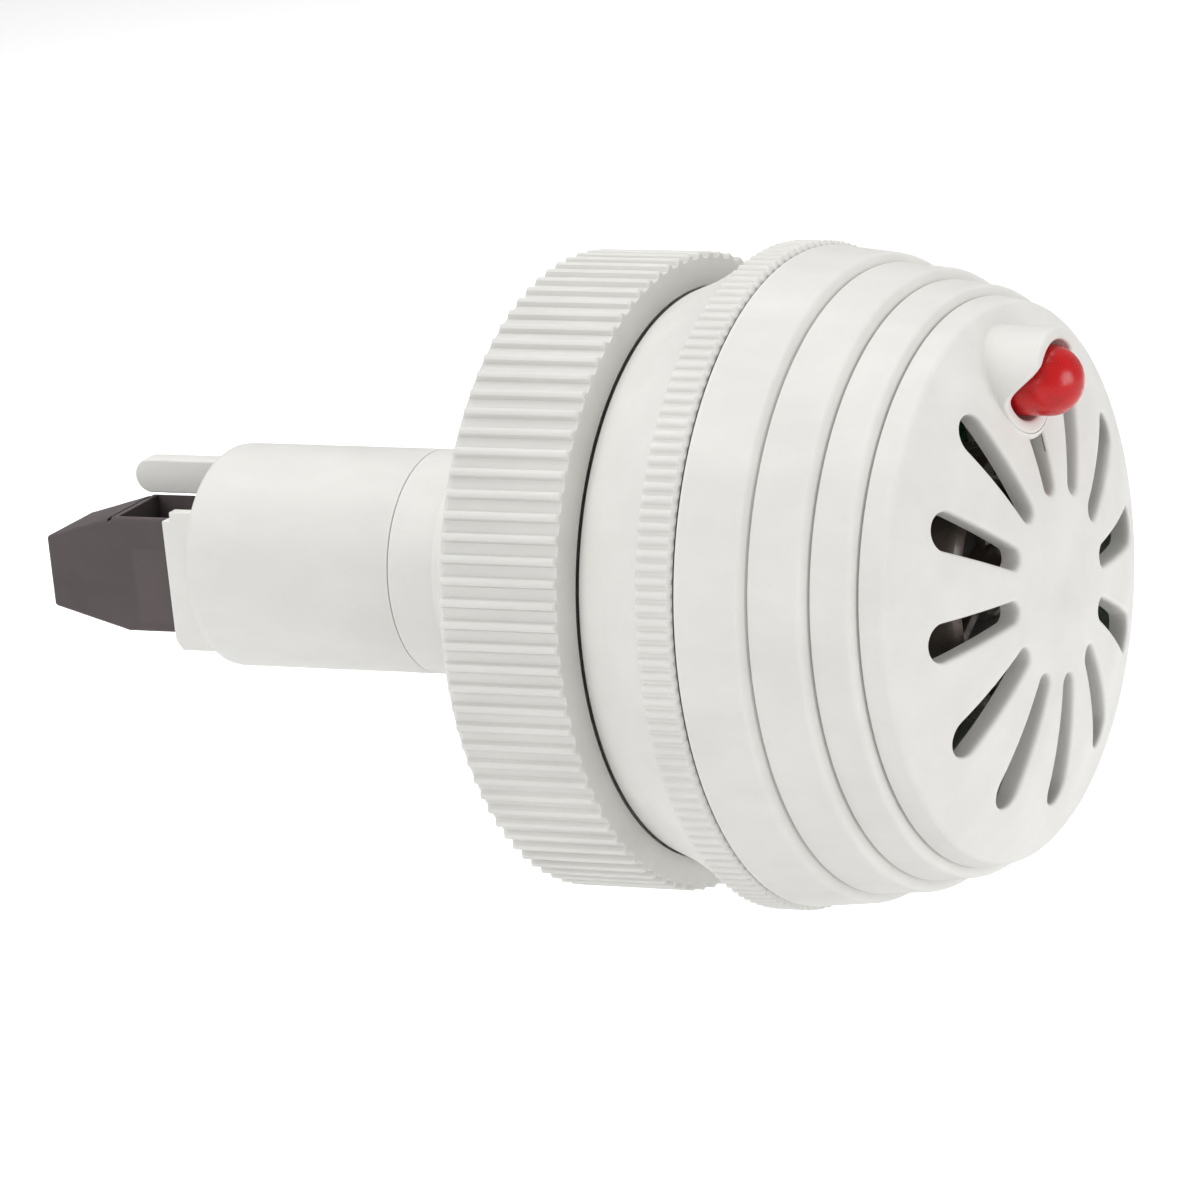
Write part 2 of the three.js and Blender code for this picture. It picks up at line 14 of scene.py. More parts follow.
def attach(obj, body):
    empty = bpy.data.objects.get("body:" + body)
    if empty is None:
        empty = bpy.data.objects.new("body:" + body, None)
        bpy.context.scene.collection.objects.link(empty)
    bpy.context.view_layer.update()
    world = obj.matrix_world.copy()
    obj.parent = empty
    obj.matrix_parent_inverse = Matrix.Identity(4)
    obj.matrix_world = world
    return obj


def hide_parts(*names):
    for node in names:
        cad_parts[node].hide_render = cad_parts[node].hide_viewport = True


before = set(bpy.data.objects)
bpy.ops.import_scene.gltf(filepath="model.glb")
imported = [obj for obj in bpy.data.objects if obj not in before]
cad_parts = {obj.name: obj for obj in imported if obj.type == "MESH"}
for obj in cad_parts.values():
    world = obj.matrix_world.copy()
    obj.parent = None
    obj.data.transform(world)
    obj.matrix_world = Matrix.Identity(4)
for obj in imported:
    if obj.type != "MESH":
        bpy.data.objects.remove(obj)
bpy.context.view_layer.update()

MM = 0.001
TAU = 2 * math.pi

# Dimensions, in millimetres. They match the CAD where no comment says otherwise.
SEAT_R = 32.3
CREASE = (3.7, 33.7)
SKIRT_END = (9.6, 36.8)
RIM_END, RIM_R = 14.3, 37.7
BASE_FLOOR = 3.0
THREAD_R, THREAD_ROOT, THREAD_END, THREAD_PITCH = 14.9, 13.5, -28.5, 3.0
TUBE_R = 12.92
STEM_END, STEM_BORE = -35.4, 11.2
KEYWAY_HALF, KEYWAY_FLOOR = 1.5, 13.6
CAP_BACK = 14.6
WALL = 2.45
STEPS = [(14.6, 37.2, 21.9, 36.5), (22.5, 35.4, 28.7, 34.9), (29.2, 33.6, 33.9, 33.1), (34.3, 31.9, 36.6, 31.6)]
FACE_APEX, FACE_R, FACE_DROP, FACE_POWER = 43.85, 31.1, 6.3, 2.4
INNER_R, INNER_DROP = 28.4, 5.1
DIMPLE_R, DIMPLE_DEPTH = 4.0, 0.5
SPIGOT_BACK, SPIGOT_OUT, SPIGOT_IN = 10.6, 34.3, 32.5
SLOTS = 12
SLOT_IN_C, SLOT_IN_R, SLOT_OUT_C, SLOT_OUT_R = 11.6, 1.25, 23.5, 2.15
SHORT_SLOT_END = 6.7  # the slot below the hood ends this far from the LED's middle
LED_Z, LED_R, LED_BACK, LED_CENTRE = 23.5, 4.0, 35.5, 44.4
HOOD_R, HOOD_BORE, HOOD_LOW, HOOD_HIGH = 6.0, 4.55, 41.7, 45.7
RIDGES = 92
NUT_BACK, NUT_FRONT, NUT_LIP = -16.1, -0.9, -0.1
NUT_TIP, NUT_ROOT, NUT_SHOULDER, NUT_BORE = 36.2, 35.5, 35.3, 15.2
NUT_RECESS = 32.38  # 32.6 in the CAD; here the lip closes up on the seat ring
RIM_RIDGES, RIM_RIDGE_DEPTH = 156, 0.38
POST_CIRCLE = 27
TUBE_BACK, TUBE_SOLID_END = -63.1, -56.0
POLES = (-2.54, 2.54)
PIN_Z = -2.75
SCREW_X = -71
WASHER_BACK, WASHER_FRONT, WASHER_R = -1.9, -0.6, 28.4
FLOOR_Z = -0.12  # metres


# ---------------------------------------------------------------- materials


class Maker:
    """A principled material, with short calls for the nodes it needs."""

    def __init__(self, name, colour, rough, metal=0.0, ior=1.46, specular=None):
        self.mat = bpy.data.materials.new(name)
        self.mat.use_nodes = True
        self.tree = self.mat.node_tree
        self.shader = self.tree.nodes["Principled BSDF"]
        self.shader.inputs["Base Color"].default_value = (*colour, 1)
        self.shader.inputs["Roughness"].default_value = rough
        self.shader.inputs["Metallic"].default_value = metal
        self.shader.inputs["IOR"].default_value = ior
        if specular is not None:
            self.shader.inputs["Specular IOR Level"].default_value = specular
        self.place = self.tree.nodes.new("ShaderNodeTexCoord").outputs["Object"]

    def link(self, source, target):
        self.tree.links.new(source, target)

    def noise(self, size_mm, detail=2.0, rough=0.5, stretch=(1, 1, 1)):
        """Noise with features of about that size; a stretch above 1 draws them out along that axis."""
        mapping = self.tree.nodes.new("ShaderNodeMapping")
        mapping.inputs["Scale"].default_value = [1 / s for s in stretch]
        self.link(self.place, mapping.inputs["Vector"])
        node = self.tree.nodes.new("ShaderNodeTexNoise")
        node.inputs["Scale"].default_value = 1 / (size_mm * MM)
        node.inputs["Detail"].default_value = detail
        node.inputs["Roughness"].default_value = rough
        self.link(mapping.outputs["Vector"], node.inputs["Vector"])
        return node.outputs["Fac"]

    def cells(self, size_mm, feature):
        node = self.tree.nodes.new("ShaderNodeTexVoronoi")
        node.feature = feature
        node.inputs["Scale"].default_value = 1 / (size_mm * MM)
        self.link(self.place, node.inputs["Vector"])
        return node.outputs["Distance"]

    def wave(self, size_mm, axis, distortion=0.0):
        node = self.tree.nodes.new("ShaderNodeTexWave")
        node.bands_direction = axis
        node.inputs["Scale"].default_value = 1 / (size_mm * MM) / 3.2
        node.inputs["Distortion"].default_value = distortion
        self.link(self.place, node.inputs["Vector"])
        return node.outputs["Fac"]

    def spread(self, value, low, high, to_low=0.0, to_high=1.0):
        """Maps value from low..high to to_low..to_high, clamped."""
        node = self.tree.nodes.new("ShaderNodeMapRange")
        node.inputs["From Min"].default_value = low
        node.inputs["From Max"].default_value = high
        node.inputs["To Min"].default_value = to_low
        node.inputs["To Max"].default_value = to_high
        self.link(value, node.inputs["Value"])
        return node.outputs["Result"]

    def mix(self, factor, a, b):
        """A colour mix; a and b are colours or sockets."""
        node = self.tree.nodes.new("ShaderNodeMix")
        node.data_type = "RGBA"
        self.link(factor, node.inputs["Factor"])
        for value, target in ((a, node.inputs[6]), (b, node.inputs[7])):
            if isinstance(value, tuple):
                target.default_value = (*value, 1)
            else:
                self.link(value, target)
        return node.outputs[2]

    def convex(self, reach_mm):
        """High near outer edges, from how much of the solid is close by."""
        node = self.tree.nodes.new("ShaderNodeAmbientOcclusion")
        node.inside = True
        node.samples = 4
        node.inputs["Distance"].default_value = reach_mm * MM
        return self.spread(node.outputs["AO"], 0.55, 0.95, 1.0, 0.0)

    def hollow(self, reach_mm):
        """High in corners and grooves."""
        node = self.tree.nodes.new("ShaderNodeAmbientOcclusion")
        node.samples = 4
        node.inputs["Distance"].default_value = reach_mm * MM
        return self.spread(node.outputs["AO"], 0.35, 0.95, 1.0, 0.0)

    def bump(self, height, depth_mm, strength=1.0, under=None):
        node = self.tree.nodes.new("ShaderNodeBump")
        node.inputs["Strength"].default_value = strength
        node.inputs["Distance"].default_value = depth_mm * MM
        self.link(height, node.inputs["Height"])
        if under is not None:
            self.link(under, node.inputs["Normal"])
        self.link(node.outputs["Normal"], self.shader.inputs["Normal"])
        return node.outputs["Normal"]

    def colour(self, socket):
        self.link(socket, self.shader.inputs["Base Color"])

    def roughness(self, socket):
        self.link(socket, self.shader.inputs["Roughness"])


def srgb(r, g, b):
    """A linear colour from 0..255 screen values."""
    def one(c):
        c /= 255
        return c / 12.92 if c <= 0.04045 else ((c + 0.055) / 1.055) ** 2.4
    return one(r), one(g), one(b)


def scaled(colour, factor):
    return tuple(min(1.0, c * factor) for c in colour)


def moulded(name, colour, rough, grain_mm=0.16, grain_depth=0.012, tone=0.045, wear=0.5, worn=1.08, corner_shade=0.12,
            specular=0.5):
    """Moulded plastic: fine spark-eroded grain, faint flow tone, rubbed edges and painted shade darkening corners and
    grooves.
    """
    m = Maker(name, colour, rough, specular=specular)
    tone_mix = m.mix(m.spread(m.noise(9, 3, 0.55, stretch=(2.2, 1, 1)), 0.35, 0.65),
                     scaled(colour, 1 - tone), scaled(colour, 1 + tone * 0.5))
    speck = m.mix(m.spread(m.noise(0.5, 2, 0.6), 0.62, 0.74, 0.0, 0.35), tone_mix, scaled(colour, 1 - 2.2 * tone))
    rubbed = m.mix(m.spread(m.convex(0.5), 0, 1, 0.0, wear), speck, scaled(colour, worn))
    # painted shade: the colour darkens towards 0.55 of itself in corners and grooves, where shade falls
    corner_shaded = m.mix(m.spread(m.hollow(1.6), 0, 1, 0.0, corner_shade), rubbed, scaled(colour, 0.55))
    m.colour(corner_shaded)
    m.roughness(m.spread(m.noise(2.6, 3, 0.6), 0.3, 0.7, rough - 0.06, rough + 0.07))
    coarse = m.bump(m.noise(3.5, 2, 0.5), 0.03, 0.35)
    m.bump(m.noise(grain_mm, 2, 0.65), grain_depth, 0.8, under=coarse)
    return m.mat


def metal(name, colour, rough, brushed=(1, 1, 1), dull=0.75, scratch=0.006):
    """Bare metal: a drawn or turned surface with duller patches and fine scratches."""
    m = Maker(name, colour, rough, metal=1.0)
    patches = m.spread(m.noise(2.2, 4, 0.6), 0.4, 0.68)
    m.colour(m.mix(patches, colour, scaled(colour, dull)))
    fine = m.noise(0.12, 3, 0.6, stretch=brushed)
    m.roughness(m.spread(fine, 0.25, 0.75, rough - 0.08, rough + 0.14))
    m.bump(fine, scratch, 0.6)
    return m.mat


def board_material():
    """Green solder mask over woven glass, with faint copper under it."""
    green = srgb(27, 92, 50)
    m = Maker("circuit_board_mask", green, 0.35)
    traces = m.spread(m.cells(4.2, "DISTANCE_TO_EDGE"), 0.05, 0.09)
    base = m.mix(traces, srgb(52, 124, 70), green)
    m.colour(m.mix(m.spread(m.noise(0.5, 2), 0.4, 0.7, 0, 0.3), base, srgb(18, 66, 38)))
    m.roughness(m.spread(m.noise(1.5, 2), 0.3, 0.7, 0.28, 0.42))
    weave = m.bump(m.wave(0.5, "Y"), 0.02, 0.4)
    weave = m.bump(m.wave(0.5, "Z"), 0.02, 0.4, under=weave)
    m.bump(traces, 0.03, 0.5, under=weave)
    return m.mat


def winding_material():
    """Enamelled copper wire laid side by side."""
    copper = srgb(176, 92, 44)
    m = Maker("copper_winding", copper, 0.3, metal=0.85)
    turns = m.wave(0.22, "X", 0.4)
    # The wave darkens the copper to a third between the turns: painted shade in the grooves between the wires.
    m.colour(m.mix(turns, scaled(copper, 0.3), copper))
    m.roughness(m.spread(m.noise(0.6, 2), 0.3, 0.7, 0.22, 0.4))
    m.bump(turns, 0.1, 0.9)
    return m.mat


def resistor_material():
    """Tan body with four plain colour bands along Y."""
    tan = srgb(203, 172, 122)
    m = Maker("resistor_body", tan, 0.45)
    split = m.tree.nodes.new("ShaderNodeSeparateXYZ")
    m.link(m.place, split.inputs["Vector"])
    shade = m.mix(m.spread(m.noise(0.4, 3), 0.35, 0.7), tan, scaled(tan, 0.8))
    fold = m.tree.nodes.new("ShaderNodeMath")
    fold.operation = "PINGPONG"
    fold.inputs[1].default_value = 0.0009
    m.link(split.outputs["Y"], fold.inputs[0])
    bands = m.spread(fold.outputs[0], 0.00056, 0.00060)
    m.colour(m.mix(bands, shade, srgb(106, 52, 24)))
    m.roughness(m.spread(m.noise(0.5, 2), 0.3, 0.7, 0.38, 0.52))
    m.bump(m.noise(0.2, 3), 0.02, 0.6)
    return m.mat


def lens_material():
    """Diffused red LED epoxy, clear enough to show the lead frame inside."""
    red = srgb(226, 10, 16)
    m = Maker("led_epoxy", red, 0.1, ior=1.5)
    m.shader.inputs["Transmission Weight"].default_value = 0.35
    m.colour(m.mix(m.spread(m.noise(1.4, 3), 0.35, 0.7), srgb(232, 12, 18), srgb(212, 6, 12)))
    m.roughness(m.spread(m.noise(0.7, 3), 0.3, 0.7, 0.2, 0.28))
    m.bump(m.noise(0.9, 2), 0.01, 0.3)
    return m.mat


BODY_GREY = srgb(224, 223, 219)
# In these calls the amount by which corners and grooves darken is painted shade.
grey = moulded("grey_plastic", BODY_GREY, 0.55, grain_mm=0.2, grain_depth=0.014, corner_shade=0.26, specular=0.22)
nut_grey = moulded("nut_plastic", scaled(BODY_GREY, 0.97), 0.53, grain_mm=0.24, grain_depth=0.016, tone=0.05,
                   corner_shade=0.26, specular=0.22)
dark = moulded("dark_plastic", srgb(82, 73, 74), 0.58, grain_mm=0.22, grain_depth=0.02, tone=0.1, worn=1.35,
               corner_shade=0.3)
# This black plastic is painted a light brown-grey, a painted brightening that stands in for light inside the shaded
# cavity behind the slots.
black = moulded("black_plastic", srgb(112, 102, 95), 0.24, grain_mm=0.4, grain_depth=0.004, tone=0.15, worn=1.6,
                wear=0.3)
epoxy = moulded("mould_compound", srgb(30, 30, 31), 0.5, grain_mm=0.12, grain_depth=0.01, tone=0.12, worn=1.5)
nylon = moulded("natural_nylon", srgb(226, 222, 208), 0.42, tone=0.05)
rubber = moulded("seal_rubber", srgb(34, 33, 34), 0.78, grain_mm=0.3, grain_depth=0.03, tone=0.16, worn=1.7,
                 corner_shade=0.2)
ferrite = moulded("ferrite_core", srgb(48, 46, 48), 0.62, grain_mm=0.1, grain_depth=0.03, tone=0.18, worn=1.6)
sleeve = moulded("capacitor_sleeve", srgb(30, 44, 84), 0.3, grain_mm=0.5, grain_depth=0.006, tone=0.1, worn=1.3)
backing = moulded("backing_plate", srgb(203, 197, 178), 0.6, grain_mm=0.3, grain_depth=0.03, tone=0.08)
black_lead = moulded("black_lead", srgb(28, 27, 28), 0.42, grain_mm=0.6, grain_depth=0.01, tone=0.1, worn=1.4)
red_lead = moulded("red_lead", srgb(170, 26, 28), 0.4, grain_mm=0.6, grain_depth=0.01, tone=0.1, worn=1.2)
cone = moulded("cone_film", srgb(84, 77, 72), 0.34, grain_mm=0.5, grain_depth=0.02, tone=0.15, worn=1.5)
steel = metal("screw_steel", srgb(186, 187, 190), 0.3, brushed=(6, 6, 1))
tinned = metal("tinned_metal", srgb(205, 206, 208), 0.26, brushed=(8, 1, 1))
brass = metal("brass", srgb(196, 158, 84), 0.3, brushed=(5, 1, 1), dull=0.62)
piezo = metal("piezo_brass", srgb(204, 168, 92), 0.28, brushed=(1, 1, 1), dull=0.7)
board = board_material()
winding = winding_material()
resistor_paint = resistor_material()
lens = lens_material()


# ---------------------------------------------------------------- mesh helpers


def place(name, mesh, material, body, slot, *nodes, angle=35):
    """Adds a finished mesh as a piece that rides on a body and stands for CAD nodes."""
    mesh.materials.clear()
    mesh.materials.append(material)
    for polygon in mesh.polygons:
        polygon.use_smooth = True
    mesh.set_sharp_from_angle(angle=math.radians(angle))
    piece = bpy.data.objects.new(name, mesh)
    bpy.context.scene.collection.objects.link(piece)
    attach(piece, body)
    if nodes:
        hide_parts(*nodes)
    return piece


def mesh_of(verts, faces, weld=0.0):
    """A mesh from millimetre points, with its faces turned outwards."""
    bm = bmesh.new()
    made = [bm.verts.new([c * MM for c in v]) for v in verts]
    for face in faces:
        corners = []
        for i in face:
            if not corners or made[i] is not corners[-1]:
                corners.append(made[i])
        if len(set(corners)) > 2:
            try:
                bm.faces.new(corners)
            except ValueError:
                pass
    if weld:
        bmesh.ops.remove_doubles(bm, verts=bm.verts, dist=weld * MM)
    bmesh.ops.recalc_face_normals(bm, faces=bm.faces)
    mesh = bpy.data.meshes.new("mesh")
    bm.to_mesh(mesh)
    bm.free()
    return mesh


def rounded(profile, radii, steps=4, closed=True):
    """A profile of (x, r) with its corners turned into arcs; radii holds index: radius."""
    count = len(profile)
    result = []
    for i, point in enumerate(profile):
        radius = radii.get(i, radii.get(i - count, 0))
        if not radius or (not closed and i in (0, count - 1)):
            result.append(point)
            continue
        here = Vector(point)
        before = Vector(profile[i - 1]) - here
        after = Vector(profile[(i + 1) % count]) - here
        a, b = before.normalized(), after.normalized()
        half = a.angle(b) / 2
        reach = min(radius / math.tan(half), before.length * 0.49, after.length * 0.49)
        centre = here + (a + b).normalized() * (reach / math.cos(half))
        start, end = here + a * reach - centre, here + b * reach - centre
        turn = start.angle(end)
        for k in range(steps + 1):
            t = k / steps
            w = (math.sin((1 - t) * turn) / math.sin(turn), math.sin(t * turn) / math.sin(turn))
            result.append(tuple(centre + start * w[0] + end * w[1]))
    return result


def on_circle(x, r, angle):
    """A point at that angle from +Z towards +Y."""
    return (x, r * math.sin(angle), r * math.cos(angle))


def revolved(profile, count, radius_at=None, x_at=None, y=0.0, z=0.0):
    """Verts and faces of a body turned about a line along X. radius_at(i, angle, x, r) and x_at(...) may vary
    point i of the profile with the angle."""
    verts, rows = [], []
    for i, (x, r) in enumerate(profile):
        if r < 1e-6:
            rows.append([len(verts)] * count)
            verts.append((x, y, z))
            continue
        row = []
        for k in range(count):
            angle = TAU * k / count
            rr = radius_at(i, angle, x, r) if radius_at else r
            xx = x_at(i, angle, x, r) if x_at else x
            px, py, pz = on_circle(xx, rr, angle)
            row.append(len(verts))
            verts.append((px, py + y, pz + z))
        rows.append(row)
    faces = []
    for i in range(len(rows)):
        a, b = rows[i], rows[(i + 1) % len(rows)]
        if len(set(a)) == 1 and len(set(b)) == 1:
            continue
        for k in range(count):
            n = (k + 1) % count
            corners = []
            for v in (a[k], a[n], b[n], b[k]):
                if v not in corners:
                    corners.append(v)
            faces.append(corners)
    return verts, faces


def turned(profile, count=96, radii=None, **more):
    return mesh_of(*revolved(rounded(profile, radii or {}), count, **more))


def joined(*parts):
    """One verts and faces list from several."""
    verts, faces = [], []
    for v, f in parts:
        faces += [[i + len(verts) for i in face] for face in f]
        verts += v
    return verts, faces


def prism(outline, low, high, axis):
    """Verts and faces of an outline pushed along an axis (0 or 1). The outline holds the other two coordinates."""
    n = len(outline)
    verts = []
    for level in (low, high):
        for a, b in outline:
            verts.append((level, a, b) if axis == 0 else (a, level, b))
    faces = [list(range(n)), list(range(2 * n - 1, n - 1, -1))]
    faces += [[i, (i + 1) % n, n + (i + 1) % n, n + i] for i in range(n)]
    return verts, faces


def box_mesh(low, high):
    outline = [(low[1], low[2]), (high[1], low[2]), (high[1], high[2]), (low[1], high[2])]
    return mesh_of(*prism(outline, low[0], high[0], 0))


def bevelled(mesh, width, segments=2, angle=30):
    """Rounds a mesh's edges sharper than the angle."""
    bm = bmesh.new()
    bm.from_mesh(mesh)
    bmesh.ops.dissolve_limit(bm, angle_limit=math.radians(1), verts=bm.verts, edges=bm.edges)
    sharp = [e for e in bm.edges if e.is_manifold and e.calc_face_angle(0) > math.radians(angle)]
    bmesh.ops.bevel(bm, geom=sharp, offset=width * MM, segments=segments, profile=0.5, affect="EDGES",
                    clamp_overlap=True)
    bm.to_mesh(mesh)
    bm.free()
    return mesh


def cut(mesh, *others, how="DIFFERENCE"):
    """The exact boolean of a mesh and others, as a new mesh."""
    base = bpy.data.objects.new("base", mesh)
    bpy.context.scene.collection.objects.link(base)
    tools = []
    for other in others:
        tool = bpy.data.objects.new("tool", other)
        bpy.context.scene.collection.objects.link(tool)
        tools.append(tool)
        step = base.modifiers.new("step", "BOOLEAN")
        step.operation = how
        step.solver = "EXACT"
        step.object = tool
    bpy.context.view_layer.update()
    result = bpy.data.meshes.new_from_object(base.evaluated_get(bpy.context.evaluated_depsgraph_get()))
    for thing in [base, *tools]:
        bpy.data.objects.remove(thing)
    return result


def copied(node, width=0.15, angle=30):
    """The CAD node's shape with softened edges."""
    bm = bmesh.new()
    bm.from_mesh(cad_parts[node].data)
    bmesh.ops.remove_doubles(bm, verts=bm.verts, dist=0.002 * MM)
    mesh = bpy.data.meshes.new(node)
    bm.to_mesh(mesh)
    bm.free()
    return bevelled(mesh, width, angle=angle)


# ---------------------------------------------------------------- grille cap


def face_x(r):
    """Height of the domed face, with the shallow dimple in its middle."""
    x = FACE_APEX - FACE_DROP * (r / FACE_R) ** FACE_POWER
    if r < DIMPLE_R:
        x -= DIMPLE_DEPTH * 0.5 * (1 + math.cos(math.pi * r / DIMPLE_R))
    return x


def inner_x(r):
    return FACE_APEX - WALL - INNER_DROP * (r / INNER_R) ** FACE_POWER


def hood_edge(z):
    """The hood's front edge: long above the LED, nearly flush with the face below it."""
    t = min(1.0, max(0.0, (z - 21.8) / 4.8))
    low = HOOD_LOW + 0.08 * max(0.0, 21.8 - z) ** 1.6
    return low + (HOOD_HIGH - HOOD_LOW) * t * t * (3 - 2 * t)


def short_half(radius):
    """Half the slot's width where it meets the circle of that radius round the LED."""
    slope = (SLOT_OUT_R - SLOT_IN_R) / (SLOT_OUT_C - SLOT_IN_C)
    return SLOT_IN_R / math.sqrt(1 - slope * slope) + (LED_Z - radius - SLOT_IN_C) * slope


def slot_ring(short, grow):
    """The tapered slot's outline on +Z, widened by grow. The short one ends hollow, round the hood."""
    lean = math.asin((SLOT_OUT_R - SLOT_IN_R) / (SLOT_OUT_C - SLOT_IN_C))
    points = []
    if short:
        radius = SHORT_SLOT_END - grow
        start = math.pi / 2 - (short_half(radius) + grow / math.cos(lean)) / radius
        arcs = ((LED_Z, radius, -start, start - math.pi, 18),)
    else:
        arcs = ((SLOT_OUT_C, SLOT_OUT_R + grow, -lean, math.pi + lean, 18),)
    arcs += ((SLOT_IN_C, SLOT_IN_R + grow, math.pi + lean, TAU - lean, 14),)
    for centre, radius, start, end, steps in arcs:
        for k in range(steps + 1):
            a = start + (end - start) * k / steps
            points.append((radius * math.cos(a), centre + radius * math.sin(a)))
    dense = []
    for i, p in enumerate(points):
        q = points[(i + 1) % len(points)]
        parts = max(1, round(math.dist(p, q) / 0.6))
        if i in (18, len(points) - 1):
            parts = 18
        dense += [(p[0] + (q[0] - p[0]) * k / parts, p[1] + (q[1] - p[1]) * k / parts) for k in range(parts)]
    return dense


def turned_by(point, angle):
    """A (y, z) point turned about X, from +Z towards +Y."""
    y, z = point
    return (y * math.cos(angle) + z * math.sin(angle), z * math.cos(angle) - y * math.sin(angle))


def build_cap():
    edge_r = 30.4  # the flat sheet of triangles ends here, and turned rings take over
    around = 240
    mouth = [(0.0, 0.5), (0.06, 0.31), (0.15, 0.15), (0.29, 0.05), (0.5, 0.0)]  # (offset, depth) of the rounding
    hood_foot = [(0.0, -0.16), (0.05, -0.05), (0.16, 0.0)]  # negative depth: it rises to the hood
    points, depths, edges = [], [], []

    def add_ring(ring, depth):
        start = len(points)
        points.extend(ring)
        depths.extend([depth] * len(ring))
        edges.extend((start + i, start + (i + 1) % len(ring)) for i in range(len(ring)))
        return list(range(start, len(points)))

    def around_axis(radius, k):
        return radius * math.sin(TAU * k / around), radius * math.cos(TAU * k / around)

    rim = add_ring([around_axis(edge_r, k) for k in range(around)], 0.0)
    for k in range(around):
        p = around_axis(edge_r - 0.8, k + 0.5)
        if math.hypot(p[0], p[1] - LED_Z) > HOOD_R + 0.7:
            points.append(p)
            depths.append(0.0)
    holes, walls = [], []
    for k in range(SLOTS):
        for i, (offset, depth) in enumerate(mouth):
            ring = [turned_by(p, TAU * k / SLOTS) for p in slot_ring(k == 0, offset)]
            made = add_ring(ring, depth)
            if i == 0:
                walls.append(made)
                holes.append([points[j] for j in made])
    hood_steps = 72
    hood_rings = []
    for offset, depth in hood_foot:
        ring = [((HOOD_R + offset) * math.sin(TAU * k / hood_steps),
                 LED_Z + (HOOD_R + offset) * math.cos(TAU * k / hood_steps)) for k in range(hood_steps)]
        hood_rings.append(add_ring(ring, depth))
    pitch = 0.95
    rows = int(edge_r / (pitch * 0.866)) + 1
    for row in range(-rows, rows + 1):
        for column in range(-rows, rows + 1):
            y = (column + 0.5 * (row % 2)) * pitch
            z = row * pitch * 0.866
            if math.hypot(y, z) > edge_r - 1.4:
                continue
            if math.hypot(y, z - LED_Z) < HOOD_R + 0.75:
                continue
            if min(near_slot((y, z), k) for k in range(SLOTS)) < 0.95:
                continue
            points.append((y, z))
            depths.append(0.0)
    flat = [Vector(p) for p in points]
    out_v, _, out_f, origin, _, _ = delaunay_2d_cdt(flat, edges, [], 0, 1e-5)
    if len(out_v) != len(points):
        raise RuntimeError("the face sheet gained or lost points")
    order = {i: source[0] for i, source in enumerate(origin)}
    sheet = []
    for tri in out_f:
        ids = [order[i] for i in tri]
        cy = sum(points[i][0] for i in ids) / 3
        cz = sum(points[i][1] for i in ids) / 3
        if math.hypot(cy, cz - LED_Z) < HOOD_R * 0.9996:
            continue
        if min(near_slot((cy, cz), k) for k in range(SLOTS)) < 0:
            continue
        sheet.append(ids)
    verts = [(face_x(math.hypot(*p)) - d, p[0], p[1]) for p, d in zip(points, depths)]
    faces = list(sheet)
    base = len(verts)
    verts += [(inner_x(math.hypot(*p)), p[0], p[1]) for p in points]
    faces += [[i + base for i in reversed(tri)] for tri in sheet]
    for ring in walls:
        drops = [0.25, 0.5, 0.75]
        columns = [ring]
        for share in drops:
            start = len(verts)
            for i in ring:
                x0, x1 = verts[i][0], verts[i + base][0]
                verts.append((x0 + (x1 - x0) * share, *points[i]))
            columns.append(list(range(start, len(verts))))
        columns.append([i + base for i in ring])
        faces += strips(columns)
    # the hood: up the outside, over the rounded rim and down the bore to the inner face
    foot = hood_rings[0]
    columns = [foot]
    lip = 0.35
    path = [(HOOD_R, None, 0.33), (HOOD_R, None, 0.66), (HOOD_R, -lip, None), (HOOD_R - 0.03, -lip * 0.6, None),
            (HOOD_R - 0.11, -lip * 0.28, None), (HOOD_R - lip * 0.7, -0.03, None), (HOOD_R - lip, 0, None),
            (HOOD_BORE + lip, 0, None), (HOOD_BORE + 0.15, -0.06, None), (HOOD_BORE + 0.04, -0.16, None),
            (HOOD_BORE, -lip, None), (HOOD_BORE, -3.0, None), (HOOD_BORE, -5.4, None)]
    for radius, below, share in path:
        start = len(verts)
        for k in range(hood_steps):
            y, z = radius * math.sin(TAU * k / hood_steps), LED_Z + radius * math.cos(TAU * k / hood_steps)
            rim_x = hood_edge(z)
            if share is None:
                x = rim_x + below
            else:
                x = verts[foot[k]][0] + (rim_x - lip - verts[foot[k]][0]) * share
            verts.append((x, y, z))
        columns.append(list(range(start, len(verts))))
    start = len(verts)
    for k in range(hood_steps):
        y, z = HOOD_BORE * math.sin(TAU * k / hood_steps), LED_Z + HOOD_BORE * math.cos(TAU * k / hood_steps)
        verts.append((inner_x(math.hypot(y, z)), y, z))
    columns.append(list(range(start, len(verts))))
    columns.append([i + base for i in foot])
    faces += strips(columns)
    # the shell: from the face over the corner and the bands, through the spigot to the inner face
    outline = [(face_x(edge_r), edge_r), (face_x(FACE_R), FACE_R), (37.2, 31.45)]
    kinds = {1: 0.5, 2: 0.5}
    for x0, r0, x1, r1 in reversed(STEPS):
        kinds[len(outline)] = 0.7
        outline.append((x1, r1))
        if x0 > CAP_BACK:
            outline += [(x0 + 0.3, r0), (x0, r0 - 0.4)]  # a fine groove at the foot of the step
        else:
            outline.append((x0, r0))
    outline += [(CAP_BACK, SPIGOT_OUT), (SPIGOT_BACK, SPIGOT_OUT), (SPIGOT_BACK, SPIGOT_IN), (16, SPIGOT_IN),
                (22, 32.5), (29, 31.1), (34.5, 29.4), (inner_x(INNER_R), INNER_R)]
    kinds.update({len(outline) - 7: 0.3, len(outline) - 6: 0.3})
    curve = rounded(outline, kinds, steps=5, closed=False)
    columns = [rim]
    for x, r in curve[1:]:
        start = len(verts)
        verts += [on_circle(x, r, TAU * k / around) for k in range(around)]
        columns.append(list(range(start, len(verts))))
    columns.append([i + base for i in rim])
    faces += strips(columns)
    mesh = mesh_of(verts, faces)
    place("grille_cap_shell", mesh, grey, "housing", "grey_plastic", "grille_cap", angle=50)


